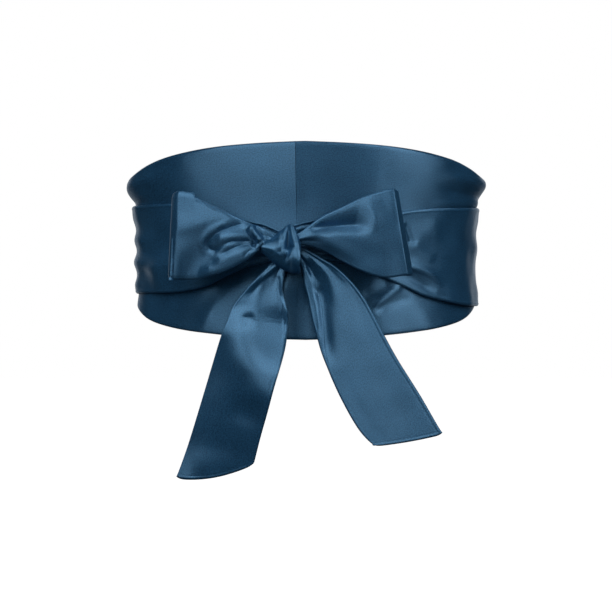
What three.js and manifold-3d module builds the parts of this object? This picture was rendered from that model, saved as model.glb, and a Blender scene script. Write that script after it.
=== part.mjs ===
// A satin waist sash, worn and tied in a bow in front: a shaped front panel that tapers towards the
// back, and two wide ties that cross at the back, come forward over the panel and meet in the knot.
// Millimetres, +Z up, the front faces -Y, and the origin is the middle of the waist it goes round.
// Left and right are as seen from the front. An angle is measured round the waist, 0 at the centre
// front, growing to the right, so that 90 is the right side and 180 the centre back.
import * as THREE from "three";
import { mergeVertices } from "three/addons/utils/BufferGeometryUtils.js";
import Module from "manifold-3d";

const wasm = await Module();
wasm.setup();

// The waist is an ellipse at each height. The tied sash draws it in, and it swells above and below.
const WAIST = [
  { height: -68, halfWidth: 119.6, halfDepth: 91.2 },
  { height: -54, halfWidth: 118.6, halfDepth: 90.4 },
  { height: -43, halfWidth: 116, halfDepth: 89.4 },
  { height: -30, halfWidth: 114.2, halfDepth: 88.4 },
  { height: -12, halfWidth: 113.8, halfDepth: 88 },
  { height: 8, halfWidth: 114.2, halfDepth: 88.3 },
  { height: 21, halfWidth: 116.2, halfDepth: 89 },
  { height: 32, halfWidth: 120.6, halfDepth: 89.8 },
  { height: 44, halfWidth: 124.4, halfDepth: 90.4 },
  { height: 68, halfWidth: 127, halfDepth: 91.2 },
];

// Cloth: the panel is two layers of satin round a stiffener, the ties are two layers of satin
const PANEL_WALL = 2;
const TIE_WALL = 1.6;
const SEAM_GAP = 0.35;

// Steps across a wall: the flat panel takes fewer than the pleated ties
const PANEL_ACROSS = 10;
const TIE_ACROSS = 12;

// The front panel: its ends, and the angle of the centre-front seam
const PANEL_END = 138;
const CENTRE_SEAM = -3;

// The panel's two edges at an angle either side of the front: it tapers to the width of a tie
const PANEL_EDGES = [
  { angle: 0, top: 65.3, low: -67.4 },
  { angle: 15, top: 64.2, low: -66.4 },
  { angle: 28, top: 62.3, low: -64.3 },
  { angle: 40, top: 59.2, low: -62 },
  { angle: 52, top: 54.8, low: -58.8 },
  { angle: 63, top: 50, low: -55 },
  { angle: 74, top: 45.4, low: -50 },
  { angle: 90, top: 41.5, low: -43.5 },
  { angle: 110, top: 36, low: -37 },
  { angle: 138, top: 30, low: -30 },
];

// The back stretch that starts at the right end of the panel. It drops from above the other tie to
// below it, outside it at the centre back. `off` is how far its middle stands off the waist.
const BACK_OUTER = [
  { angle: 138.3, mid: 0, half: 30, off: 1, gather: 0 },
  { angle: 145, mid: 10, half: 23, off: 1.5, gather: 0.5 },
  { angle: 152, mid: 17.6, half: 16, off: 2.2, gather: 1.1 },
  { angle: 165, mid: 17.6, half: 15.5, off: 5.2, gather: 1.3 },
  { angle: 180, mid: 0, half: 18, off: 7.4, gather: 1.4 },
  { angle: 195, mid: -17.6, half: 15.5, off: 7, gather: 1.3 },
  { angle: 208, mid: -17.6, half: 16, off: 6.6, gather: 1.1 },
  { angle: 215, mid: -12, half: 23, off: 6, gather: 0.8 },
  { angle: 222, mid: -7, half: 29, off: 5, gather: 0.6 },
];

// The back stretch that starts at the left end of the panel, inside the other at the centre back
const BACK_INNER = [
  { angle: 138, mid: -9, half: 31, off: 5, gather: 0.6 },
  { angle: 145, mid: -13, half: 23, off: 6, gather: 0.8 },
  { angle: 152, mid: -17.6, half: 16, off: 6.4, gather: 1.1 },
  { angle: 165, mid: -17.6, half: 15.5, off: 3.2, gather: 1.3 },
  { angle: 180, mid: 0, half: 18, off: 2.2, gather: 1.1 },
  { angle: 195, mid: 17.6, half: 15.5, off: 2, gather: 1.1 },
  { angle: 208, mid: 17.6, half: 16, off: 2, gather: 1.1 },
  { angle: 215, mid: 10, half: 23, off: 1.5, gather: 0.5 },
  { angle: 221.7, mid: 0, half: 30, off: 1, gather: 0 },
];
const BACK_PLEATS = 3;

// The ties over the panel, from the end of the panel to the knot: their two edges and stand-off
const WRAP_LEFT = [
  { angle: -137.7, top: 22, low: -36, off: 5, gather: 0.6 },
  { angle: -128, top: 24, low: -36.5, off: 3.8, gather: 0.5 },
  { angle: -110, top: 25, low: -36.5, off: 3.6, gather: 0.2 },
  { angle: -90, top: 24.5, low: -36.2, off: 3.6, gather: 0 },
  { angle: -77, top: 24.5, low: -36, off: 3.6, gather: 0 },
  { angle: -64, top: 24.5, low: -36, off: 3.6, gather: 0 },
  { angle: -52, top: 24.5, low: -36, off: 3.6, gather: 0 },
  { angle: -43, top: 23, low: -34.9, off: 3.6, gather: 0 },
  { angle: -33.5, top: 19, low: -31.3, off: 3.9, gather: 0.3 },
  { angle: -24, top: 12, low: -23.2, off: 4.4, gather: 0.5 },
  { angle: -18.8, top: 8, low: -18.7, off: 5, gather: 0.7 },
  { angle: -11, top: 4, low: -15.3, off: 6, gather: 0.9 },
  { angle: -8.2, top: 3, low: -14.5, off: 6.4, gather: 1 },
];
const WRAP_RIGHT = [
  { angle: 137.7, top: 22, low: -40, off: 5, gather: 0.6 },
  { angle: 128, top: 23, low: -42.5, off: 3.8, gather: 0.5 },
  { angle: 110, top: 23.5, low: -44.5, off: 3.6, gather: 0.2 },
  { angle: 90, top: 23.2, low: -44.8, off: 3.8, gather: 0 },
  { angle: 75, top: 22.8, low: -44.6, off: 4.8, gather: 0 },
  { angle: 61, top: 22, low: -43.8, off: 6.6, gather: 0 },
  { angle: 44, top: 21, low: -38.7, off: 4.6, gather: 0 },
  { angle: 33, top: 18.5, low: -31, off: 3.6, gather: 0.3 },
  { angle: 24, top: 12.5, low: -24, off: 4.3, gather: 0.8 },
  { angle: 12, top: 7, low: -16.5, off: 5, gather: 1.2 },
  { angle: 0, top: 4, low: -13, off: 6, gather: 1.5 },
  { angle: -7.7, top: 3, low: -12.5, off: 6.4, gather: 1.5 },
];
const WRAP_PLEATS = 3;

// Folds of the ties over the panel: a crease from one place to another, at angles and heights,
// bowed by `bow`. `width` is half its width, and `depth` stands out of the cloth.
const WRAP_LEFT_FOLDS = [
  { angle1: -138, height1: 3, angle2: -58, height2: 0, bow: 0, width: 5, depth: 1.9 },
  { angle1: -138, height1: -12, angle2: -52, height2: -16, bow: 0, width: 5, depth: 2.4 },
  { angle1: -138, height1: 15, angle2: -72, height2: 17, bow: 0, width: 6, depth: 1.5 },
  { angle1: -138, height1: -29, angle2: -70, height2: -30, bow: 0, width: 4, depth: 1.3 },
  { angle1: -84, height1: -22, angle2: -13, height2: -11, bow: 0, width: 14, depth: 5.5 },
];
const WRAP_RIGHT_FOLDS = [
  { angle1: 138, height1: -8, angle2: 62, height2: -3, bow: 0, width: 7, depth: 1.6 },
  { angle1: 138, height1: 14, angle2: 80, height2: 14, bow: 0, width: 6, depth: 1.4 },
  { angle1: 138, height1: -32, angle2: 76, height2: -36, bow: 0, width: 6, depth: 1.2 },
  { angle1: 56, height1: -31, angle2: 27, height2: -15, bow: 0, width: 3.5, depth: 2.4 },
];

// The bow's loops, seen from the front, from the knot along the front leaf, round the turned end and
// back along the back leaf: both edges of the tie, its place in depth, and its gathers
const LOOP_LEFT = [
  { topX: -18, topZ: 1, lowX: -18, lowZ: -9, y: -111, gather: 1.2 },
  { topX: -29, topZ: 8, lowX: -29, lowZ: -7.6, y: -112, gather: 2 },
  { topX: -37.5, topZ: 11, lowX: -37, lowZ: -14, y: -112.5, gather: 1.6 },
  { topX: -54, topZ: 18.8, lowX: -53, lowZ: -22.4, y: -112, gather: 0.7 },
  { topX: -71, topZ: 26.4, lowX: -69, lowZ: -26.7, y: -111.9, gather: 0.2 },
  { topX: -74, topZ: 29.9, lowX: -74.6, lowZ: -27.3, y: -111.8, gather: 0.1 },
  { topX: -79.5, topZ: 30.8, lowX: -81, lowZ: -27.7, y: -111.5, gather: 0 },
  { topX: -84.4, topZ: 31.3, lowX: -86.2, lowZ: -27.7, y: -110.8, gather: 0 },
  { topX: -87, topZ: 31.2, lowX: -89.4, lowZ: -27.6, y: -107.6, gather: 0 },
  { topX: -88.3, topZ: 30.6, lowX: -91, lowZ: -27.4, y: -102.5, gather: 0 },
  { topX: -86, topZ: 30, lowX: -88, lowZ: -27, y: -98, gather: 0 },
  { topX: -79, topZ: 28.6, lowX: -80, lowZ: -26.6, y: -95.8, gather: 0 },
  { topX: -69, topZ: 24.5, lowX: -69, lowZ: -25, y: -95.8, gather: 0.2 },
  { topX: -53, topZ: 18, lowX: -53, lowZ: -20, y: -98.5, gather: 0.6 },
  { topX: -37, topZ: 12, lowX: -38, lowZ: -12, y: -104, gather: 1 },
  { topX: -27, topZ: 9.6, lowX: -28, lowZ: -7, y: -106.5, gather: 1.1 },
  { topX: -17, topZ: 5, lowX: -18, lowZ: -7, y: -107, gather: 0.8 },
];
const LOOP_RIGHT = [
  { topX: -12, topZ: 1, lowX: -12, lowZ: -8, y: -112, gather: 1.2 },
  { topX: -3.5, topZ: 4.6, lowX: -3.5, lowZ: -4.6, y: -112.5, gather: 1.8 },
  { topX: 9.5, topZ: 14.3, lowX: 9.5, lowZ: -7.5, y: -113, gather: 1.5 },
  { topX: 23.2, topZ: 20.9, lowX: 22.5, lowZ: -14.8, y: -113, gather: 0.8 },
  { topX: 37.6, topZ: 27.6, lowX: 36.5, lowZ: -21.8, y: -112.5, gather: 0.3 },
  { topX: 50.5, topZ: 31.5, lowX: 51, lowZ: -26.2, y: -112.4, gather: 0 },
  { topX: 56.4, topZ: 32.9, lowX: 65, lowZ: -24.8, y: -112, gather: 0 },
  { topX: 58.2, topZ: 33, lowX: 67.6, lowZ: -24.6, y: -110.6, gather: 0 },
  { topX: 60.3, topZ: 32.4, lowX: 70.7, lowZ: -24.6, y: -104, gather: 0 },
  { topX: 57.5, topZ: 31.6, lowX: 67, lowZ: -24.6, y: -98, gather: 0 },
  { topX: 50, topZ: 29, lowX: 54, lowZ: -24, y: -95.8, gather: 0 },
  { topX: 37, topZ: 24.5, lowX: 38, lowZ: -20, y: -96.5, gather: 0.3 },
  { topX: 22, topZ: 18, lowX: 22, lowZ: -13, y: -99.5, gather: 0.8 },
  { topX: 5, topZ: 12.4, lowX: 6, lowZ: -7, y: -104.5, gather: 1.1 },
  { topX: -3, topZ: 10.6, lowX: -3, lowZ: -4, y: -106.5, gather: 1.1 },
  { topX: -13, topZ: 7, lowX: -12, lowZ: -5, y: -107, gather: 0.8 },
];
const LOOP_PLEATS = 2.5;
const LOOP_BELLY = 3;

// Folds of the loops' front leaves, in the front view
const LOOP_LEFT_FOLDS = [
  { x1: -92, z1: 3, x2: -34, z2: 14, bow: 2, width: 8, depth: 1.6 },
  { x1: -86, z1: -42, x2: -62, z2: -2, bow: 0, width: 10, depth: -3.6 },
  { x1: -126, z1: -26, x2: -50, z2: -46, bow: 0, width: 24, depth: -8 },
  { x1: -40, z1: 9.5, x2: -64, z2: 0, bow: -5, width: 3.6, depth: 2.2 },
  { x1: -64, z1: 0, x2: -22, z2: -6, bow: -4, width: 3.4, depth: -2.4 },
  { x1: -76, z1: -24, x2: -26, z2: -5, bow: 3, width: 7, depth: 2.4 },
];
const LOOP_RIGHT_FOLDS = [
  { x1: 4, z1: 5, x2: 48, z2: 8.6, bow: 1, width: 6, depth: -5 },
  { x1: -6, z1: -3, x2: 36, z2: 6, bow: 1, width: 4, depth: 1 },
  { x1: 38, z1: 27, x2: 45, z2: 3, bow: 4, width: 5, depth: 0.8 },
  { x1: -8, z1: -3.4, x2: 20, z2: -9.6, bow: 1, width: 3.4, depth: -2.6 },
];

// The tails, seen from the front, from behind the knot down to the tip: both edges and the depth
const TAIL_LEFT = [
  { outX: -20, outZ: -8, inX: -12, inZ: -10, outY: -101.4, inY: -101.4, gather: 0.6 },
  { outX: -23, outZ: -15, inX: -12.5, inZ: -17, outY: -102, inY: -102.4, gather: 0.8 },
  { outX: -29.4, outZ: -22.1, inX: -14.5, inZ: -27, outY: -102.4, inY: -103, gather: 0.6 },
  { outX: -38, outZ: -31, inX: -15.5, inZ: -38, outY: -102.8, inY: -104, gather: 0.4 },
  { outX: -48.2, outZ: -43.5, inX: -11.7, inZ: -49, outY: -103.6, inY: -106, gather: 0.3 },
  { outX: -52.7, outZ: -54, inX: -12, inZ: -61, outY: -104.6, inY: -108, gather: 0.2 },
  { outX: -57.5, outZ: -67, inX: -14.5, inZ: -76, outY: -106, inY: -110, gather: 0.1 },
  { outX: -65.3, outZ: -92.8, inX: -22.6, inZ: -105, outY: -107, inY: -111.5, gather: 0 },
  { outX: -72, outZ: -115, inX: -28.7, inZ: -126.5, outY: -104.5, inY: -108.5, gather: 0 },
  { outX: -79, outZ: -137.5, inX: -32.8, inZ: -142.5, outY: -102, inY: -105, gather: 0 },
  { outX: -87, outZ: -160.3, inX: -34.6, inZ: -150.7, outY: -101, inY: -103.6, gather: 0 },
];
const TAIL_RIGHT = [
  { outX: -9, outZ: 0, inX: -9, inZ: -9, outY: -103, inY: -102, gather: 0.6 },
  { outX: -3.5, outZ: -4.6, inX: -4.5, inZ: -16, outY: -104, inY: -102.5, gather: 0.9 },
  { outX: 8, outZ: -11.6, inX: -2.2, inZ: -22, outY: -105, inY: -102.8, gather: 0.9 },
  { outX: 20, outZ: -18.6, inX: -1.3, inZ: -30, outY: -105.8, inY: -103, gather: 0.7 },
  { outX: 30, outZ: -28, inX: 1.1, inZ: -39, outY: -106.8, inY: -103.6, gather: 0.5 },
  { outX: 38, outZ: -38.5, inX: 3.3, inZ: -51, outY: -107.8, inY: -104.6, gather: 0.3 },
  { outX: 44.3, outZ: -49.5, inX: 6.4, inZ: -62.5, outY: -108.8, inY: -105.8, gather: 0.2 },
  { outX: 52.3, outZ: -65, inX: 12.6, inZ: -82, outY: -109.8, inY: -107, gather: 0.1 },
  { outX: 61.5, outZ: -81.5, inX: 22, inZ: -104, outY: -110.8, inY: -108, gather: 0 },
  { outX: 76.5, outZ: -105.5, inX: 34, inZ: -125.5, outY: -111.8, inY: -109, gather: 0 },
  { outX: 90.2, outZ: -130, inX: 44.7, inZ: -138, outY: -112.4, inY: -109.8, gather: 0 },
];
const TAIL_PLEATS = 2;
const TIP_BOW_LEFT = 3.5;
const TIP_BOW_RIGHT = 0.8;

const TAIL_LEFT_FOLDS = [
  { x1: -24, z1: -16, x2: -52, z2: -52, bow: -1, width: 4, depth: 1.8 },
  { x1: -16, z1: -20, x2: -34, z2: -34, bow: 0, width: 3, depth: -2 },
  { x1: -8, z1: -96, x2: -46, z2: -46, bow: -9, width: 10, depth: 3 },
];
const TAIL_RIGHT_FOLDS = [
  { x1: -4, z1: -11, x2: 7, z2: -34, bow: 2, width: 3, depth: -2 },
  { x1: 4, z1: -13, x2: 22, z2: -72, bow: 3, width: 3.2, depth: 0.8 },
  { x1: 4, z1: -24, x2: 17, z2: -88, bow: 1.8, width: 4.2, depth: -2.8 },
];

// The knot: cloth wound round the gathers, as sections from its left end to its right end
const KNOT = [
  { x: -29.2, top: -2, low: -8.6, front: -113, back: -106 },
  { x: -27.6, top: -1.4, low: -10.2, front: -114.4, back: -102 },
  { x: -22.5, top: 0.6, low: -14.8, front: -116, back: -97 },
  { x: -16.5, top: 4.6, low: -19.2, front: -117.8, back: -95.6 },
  { x: -10.6, top: 8.8, low: -22, front: -118.4, back: -95.6 },
  { x: -7.6, top: 6.4, low: -22.6, front: -119.6, back: -96 },
  { x: -5.4, top: 2.2, low: -22.8, front: -120, back: -98 },
  { x: -4, top: -3.4, low: -22, front: -119, back: -102 },
];
const KNOT_FOLDS = [
  { x1: -16.6, z1: 8, x2: -17, z2: -12, bow: 0, width: 2, depth: 1.4 },
  { x1: -11.6, z1: 12, x2: -12.8, z2: -11, bow: 0, width: 3, depth: -2.4 },
  { x1: -9, z1: 12, x2: -3, z2: -7, bow: 0, width: 5.6, depth: -1.4 },
  { x1: -16, z1: -11.6, x2: -1, z2: -18, bow: 0, width: 5, depth: 2 },
];

const SATIN = { color: 0x3a5f80, roughness: 0.38, metalness: 0.1 };

// A smooth curve through one column of a table, at a place from 0, its first row, to 1, its last
function column(table, name, place) {
  const last = table.length - 1;
  const at = Math.min(Math.max(place, 0), 1) * last;
  const row = Math.min(Math.floor(at), last - 1);
  const value = (index) => table[Math.min(Math.max(index, 0), last)][name];
  const [before, from, to, after] = [value(row - 1), value(row), value(row + 1), value(row + 2)];
  const t = at - row;
  const slopeFrom = (to - before) / 2;
  const slopeTo = (after - from) / 2;
  const rise = to - from;
  return from + slopeFrom * t + (3 * rise - 2 * slopeFrom - slopeTo) * t * t
    + (slopeFrom + slopeTo - 2 * rise) * t * t * t;
}

// The value of one column where another column, which grows or falls all the way, has a value
function lookUp(table, key, name, value) {
  const rising = table[table.length - 1][key] > table[0][key];
  const passed = (row) => (rising ? table[row][key] >= value : table[row][key] <= value);
  let row = 1;
  while (row < table.length - 1 && !passed(row)) row += 1;
  const share = (value - table[row - 1][key]) / (table[row][key] - table[row - 1][key]);
  return column(table, name, (row - 1 + share) / (table.length - 1));
}

// A point that stands `off` outside the waist
function waistPoint(angle, height, off) {
  const turn = THREE.MathUtils.degToRad(angle);
  const a = lookUp(WAIST, "height", "halfWidth", height);
  const b = lookUp(WAIST, "height", "halfDepth", height);
  const normal = new THREE.Vector2(b * Math.sin(turn), -a * Math.cos(turn)).normalize();
  return new THREE.Vector3(
    a * Math.sin(turn) + off * normal.x,
    -b * Math.cos(turn) + off * normal.y,
    height,
  );
}

// A bowed crease is a chain of short straight steps, and fades over a share of its length at each end
const CREASE_STEPS = 8;
const CREASE_FADE = 0.25;

// How far a crease from (x1, y1) to (x2, y2), bowed to its left by `bow`, stands out at a point.
// Across it is a soft bell.
function crease(x, y, x1, y1, x2, y2, bow, width, depth) {
  const length = Math.hypot(x2 - x1, y2 - y1);
  const sideX = -(y2 - y1) / length;
  const sideY = (x2 - x1) / length;
  let nearest = Infinity;
  let along = 0;
  let previous = null;
  for (let step = 0; step <= CREASE_STEPS; step += 1) {
    const s = step / CREASE_STEPS;
    const out = bow * 4 * s * (1 - s);
    const here = [x1 + (x2 - x1) * s + sideX * out, y1 + (y2 - y1) * s + sideY * out];
    if (previous) {
      const [dx, dy] = [here[0] - previous[0], here[1] - previous[1]];
      const share = ((x - previous[0]) * dx + (y - previous[1]) * dy) / (dx * dx + dy * dy);
      const t = Math.min(Math.max(share, 0), 1);
      const distance = Math.hypot(x - previous[0] - dx * t, y - previous[1] - dy * t);
      if (distance < nearest) {
        nearest = distance;
        along = (step - 1 + t) / CREASE_STEPS;
      }
    }
    previous = here;
  }
  const fade = Math.min(1, along / CREASE_FADE, (1 - along) / CREASE_FADE);
  const soft = fade * fade * (3 - 2 * fade);
  return depth * soft * Math.exp(-((nearest / width) ** 2));
}

function frontFolds(folds, x, z) {
  return folds.reduce(
    (sum, f) => sum + crease(x, z, f.x1, f.z1, f.x2, f.z2, f.bow, f.width, f.depth),
    0,
  );
}

// Degrees round the waist are about two millimetres each, so a crease is measured in millimetres
const MM_PER_DEGREE = 1.85;

function waistFolds(folds, angle, z) {
  const x = angle * MM_PER_DEGREE;
  return folds.reduce(
    (sum, f) => sum + crease(
      x, z, f.angle1 * MM_PER_DEGREE, f.height1, f.angle2 * MM_PER_DEGREE, f.height2,
      f.bow, f.width, f.depth,
    ),
    0,
  );
}

// Lengthwise gathers: waves across the width of a tie, flat at its two edges
function gathers(amount, waves, across) {
  return amount * Math.sin(2 * Math.PI * waves * across) * Math.sqrt(Math.sin(Math.PI * across));
}

// A wall of even thickness round a middle surface that is given at (along, across), each from 0 to 1
function clothWall(middle, alongSteps, acrossSteps, wall) {
  const rows = alongSteps + 1;
  const columns = acrossSteps + 1;
  const grid = [];
  for (let i = 0; i < rows; i += 1) {
    for (let j = 0; j < columns; j += 1) grid.push(middle(i / alongSteps, j / acrossSteps));
  }
  const at = (i, j) => grid[
    Math.min(Math.max(i, 0), alongSteps) * columns + Math.min(Math.max(j, 0), acrossSteps)
  ];
  const positions = [];
  for (const side of [0.5, -0.5]) {
    for (let i = 0; i < rows; i += 1) {
      for (let j = 0; j < columns; j += 1) {
        const along = at(i + 1, j).clone().sub(at(i - 1, j));
        const across = at(i, j + 1).clone().sub(at(i, j - 1));
        const normal = along.cross(across).normalize();
        const point = at(i, j).clone().addScaledVector(normal, side * wall);
        positions.push(point.x, point.y, point.z);
      }
    }
  }
  const under = rows * columns;
  const index = [];
  const quad = (a, b, c, d) => index.push(a, b, c, a, c, d);
  for (let i = 0; i < alongSteps; i += 1) {
    for (let j = 0; j < acrossSteps; j += 1) {
      const a = i * columns + j;
      quad(a, a + columns, a + columns + 1, a + 1);
      quad(under + a, under + a + 1, under + a + columns + 1, under + a + columns);
    }
  }
  for (let i = 0; i < alongSteps; i += 1) {
    const low = i * columns;
    const high = low + acrossSteps;
    quad(low, under + low, under + low + columns, low + columns);
    quad(high, high + columns, under + high + columns, under + high);
  }
  for (let j = 0; j < acrossSteps; j += 1) {
    const last = alongSteps * columns + j;
    quad(j, j + 1, under + j + 1, under + j);
    quad(last, under + last, under + last + 1, last + 1);
  }
  return closedGeometry(positions, index);
}

function closedGeometry(positions, index) {
  const geometry = new THREE.BufferGeometry();
  geometry.setAttribute("position", new THREE.Float32BufferAttribute(positions, 3));
  geometry.setIndex(index);
  return geometry;
}

// Points nearer to each other than this are one point
const MERGE_DISTANCE = 1e-4;

function toSolid(geometry) {
  const merged = mergeVertices(geometry, MERGE_DISTANCE);
  return new wasm.Manifold(new wasm.Mesh({
    numProp: 3,
    vertProperties: Float32Array.from(merged.attributes.position.array),
    triVerts: Uint32Array.from(merged.index.array),
  }));
}

// The largest body of a solid, as a geometry
function fromSolid(solid) {
  const bodies = solid.decompose().sort((a, b) => b.volume() - a.volume());
  const mesh = bodies[0].getMesh();
  return closedGeometry(Array.from(mesh.vertProperties), Array.from(mesh.triVerts));
}

function panel(from, to, alongSteps) {
  const middle = (along, across) => {
    const angle = THREE.MathUtils.lerp(from, to, along);
    const top = lookUp(PANEL_EDGES, "angle", "top", Math.abs(angle));
    const low = lookUp(PANEL_EDGES, "angle", "low", Math.abs(angle));
    return waistPoint(angle, THREE.MathUtils.lerp(low, top, across), PANEL_WALL / 2);
  };
  return clothWall(middle, alongSteps, PANEL_ACROSS, PANEL_WALL);
}

function backStretch(table, alongSteps) {
  const middle = (along, across) => {
    const [angle, mid, half, off, gather] = ["angle", "mid", "half", "off", "gather"].map(
      (name) => column(table, name, along),
    );
    const height = mid + half * (2 * across - 1);
    return waistPoint(angle, height, off + gathers(gather, BACK_PLEATS, across));
  };
  return clothWall(middle, alongSteps, TIE_ACROSS, TIE_WALL);
}

// The tables run from the back to the knot, and the wall is built towards growing angles
function wrap(table, folds, alongSteps) {
  const rising = table[table.length - 1].angle > table[0].angle;
  const middle = (along, across) => {
    const place = rising ? along : 1 - along;
    const [angle, top, low, off, gather] = ["angle", "top", "low", "off", "gather"].map(
      (name) => column(table, name, place),
    );
    const height = THREE.MathUtils.lerp(low, top, across);
    const stand = off + gathers(gather, WRAP_PLEATS, across) + waistFolds(folds, angle, height);
    return waistPoint(angle, height, stand);
  };
  return clothWall(middle, alongSteps, TIE_ACROSS, TIE_WALL);
}

// A loop's folds die away as its cloth turns round the end
const FOLD_FADE = 0.3;

function loop(table, folds, alongSteps) {
  const middle = (along, across) => {
    const [topX, topZ, lowX, lowZ, y, gather] = ["topX", "topZ", "lowX", "lowZ", "y", "gather"].map(
      (name) => column(table, name, along),
    );
    const x = THREE.MathUtils.lerp(lowX, topX, across);
    const z = THREE.MathUtils.lerp(lowZ, topZ, across);
    const outward = Math.cos(Math.PI * along);
    const belly = LOOP_BELLY * Math.sin(2 * Math.PI * along) * Math.sin(Math.PI * across);
    const fold = Math.max(outward, 0) ** FOLD_FADE * frontFolds(folds, x, z);
    const wave = gathers(gather, LOOP_PLEATS, across) * Math.sign(outward);
    return new THREE.Vector3(x, y - belly - fold - wave, z);
  };
  return clothWall(middle, alongSteps, TIE_ACROSS, TIE_WALL);
}

// The share of a tail's length at which its tip starts to bow
const TIP_START = 0.9;

function tail(table, folds, tipBow, alongSteps) {
  const middle = (along, across) => {
    const [outX, outZ, inX, inZ, outY, inY, gather] = [
      "outX", "outZ", "inX", "inZ", "outY", "inY", "gather",
    ].map((name) => column(table, name, along));
    const x = THREE.MathUtils.lerp(inX, outX, across);
    const nearTip = Math.max(0, along - TIP_START) / (1 - TIP_START);
    const tip = tipBow * nearTip * Math.sin(Math.PI * across);
    const z = THREE.MathUtils.lerp(inZ, outZ, across) - tip;
    const y = THREE.MathUtils.lerp(inY, outY, across);
    return new THREE.Vector3(x, y - frontFolds(folds, x, z) - gathers(gather, TAIL_PLEATS, across), z);
  };
  return clothWall(middle, alongSteps, TIE_ACROSS, TIE_WALL);
}

// The knot's sections are ellipses made a little squarer, which a power below 1 does. At each end a
// point closes it, as far out as KNOT_TIP.
const KNOT_ALONG = 14;
const KNOT_AROUND = 22;
const KNOT_SQUARENESS = 0.83;
const KNOT_TIP = 1;

// The knot's outer skin, `grown` outwards on every side, closed by a point at each end
function knotGeometry(grown) {
  const positions = [];
  const index = [];
  for (let i = 0; i <= KNOT_ALONG; i += 1) {
    const place = i / KNOT_ALONG;
    const [x, top, low, front, back] = ["x", "top", "low", "front", "back"].map(
      (name) => column(KNOT, name, place),
    );
    for (let j = 0; j < KNOT_AROUND; j += 1) {
      const turn = (2 * Math.PI * j) / KNOT_AROUND;
      const shape = (value) => Math.sign(value) * Math.abs(value) ** KNOT_SQUARENESS;
      const up = shape(Math.sin(turn)) * ((top - low) / 2 + grown);
      const forward = shape(Math.cos(turn)) * ((back - front) / 2 + grown);
      const z = (top + low) / 2 + up;
      const fold = Math.max(0, Math.cos(turn)) * frontFolds(KNOT_FOLDS, x, z);
      positions.push(x + grown * (2 * place - 1), (front + back) / 2 - forward - fold, z);
    }
  }
  for (let i = 0; i < KNOT_ALONG; i += 1) {
    for (let j = 0; j < KNOT_AROUND; j += 1) {
      const a = i * KNOT_AROUND + j;
      const b = i * KNOT_AROUND + ((j + 1) % KNOT_AROUND);
      index.push(a, a + KNOT_AROUND, b, b, a + KNOT_AROUND, b + KNOT_AROUND);
    }
  }
  const ends = [KNOT[0], KNOT[KNOT.length - 1]];
  ends.forEach((section, end) => {
    const outward = end === 0 ? -1 : 1;
    const tip = positions.length / 3;
    positions.push(
      section.x + outward * (KNOT_TIP + grown),
      (section.front + section.back) / 2,
      (section.top + section.low) / 2,
    );
    const ring = end === 0 ? 0 : KNOT_ALONG * KNOT_AROUND;
    for (let j = 0; j < KNOT_AROUND; j += 1) {
      const a = ring + j;
      const b = ring + ((j + 1) % KNOT_AROUND);
      if (end === 0) index.push(tip, a, b);
      else index.push(tip, b, a);
    }
  });
  return closedGeometry(positions, index);
}

// A gathered piece ends where it meets the knot
function cutAtKnot(geometry) {
  return fromSolid(toSolid(geometry).subtract(knotClearance));
}

function piece(name, geometry) {
  geometry.computeVertexNormals();
  const mesh = new THREE.Mesh(geometry, new THREE.MeshStandardMaterial(SATIN));
  mesh.name = name;
  return mesh;
}

const seamHalfGap = THREE.MathUtils.radToDeg(SEAM_GAP / 2 / WAIST[0].halfWidth);
const knotClearance = toSolid(knotGeometry(SEAM_GAP));

// Steps along each piece
const PANEL_STEPS = 27;
const BACK_STEPS = 22;
const WRAP_STEPS = 34;
const LOOP_STEPS = 36;
const TAIL_STEPS = 24;

const panelLeft = panel(-PANEL_END, CENTRE_SEAM - seamHalfGap, PANEL_STEPS);
const panelRight = panel(CENTRE_SEAM + seamHalfGap, PANEL_END, PANEL_STEPS);
const wrapLeft = wrap(WRAP_LEFT, WRAP_LEFT_FOLDS, WRAP_STEPS);
const wrapRight = wrap(WRAP_RIGHT, WRAP_RIGHT_FOLDS, WRAP_STEPS);
const loopLeft = loop(LOOP_LEFT, LOOP_LEFT_FOLDS, LOOP_STEPS);
const loopRight = loop(LOOP_RIGHT, LOOP_RIGHT_FOLDS, LOOP_STEPS);
const tailLeft = tail(TAIL_LEFT, TAIL_LEFT_FOLDS, TIP_BOW_LEFT, TAIL_STEPS);
const tailRight = tail(TAIL_RIGHT, TAIL_RIGHT_FOLDS, TIP_BOW_RIGHT, TAIL_STEPS);

const sash = new THREE.Group();
sash.add(piece("panel_left", panelLeft));
sash.add(piece("panel_right", panelRight));
sash.add(piece("back_outer", backStretch(BACK_OUTER, BACK_STEPS)));
sash.add(piece("back_inner", backStretch(BACK_INNER, BACK_STEPS)));
sash.add(piece("wrap_left", cutAtKnot(wrapLeft)));
sash.add(piece("wrap_right", cutAtKnot(wrapRight)));
sash.add(piece("loop_left", cutAtKnot(loopLeft)));
sash.add(piece("loop_right", cutAtKnot(loopRight)));
sash.add(piece("tail_left", cutAtKnot(tailLeft)));
sash.add(piece("tail_right", cutAtKnot(tailRight)));
sash.add(piece("knot", knotGeometry(0)));

export default sash;
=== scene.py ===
# The looks of a satin waist sash: thin cloth on the form of each solid of the part, with its folds,
# rounded edges and sheen. Tables are in millimetres and degrees, in the part's own frame: +Z up, the
# front faces -Y, and left and right are as seen from the front. An angle is measured round the
# waist, 0 at the centre front and growing to the right.
import math
from collections import namedtuple

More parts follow.
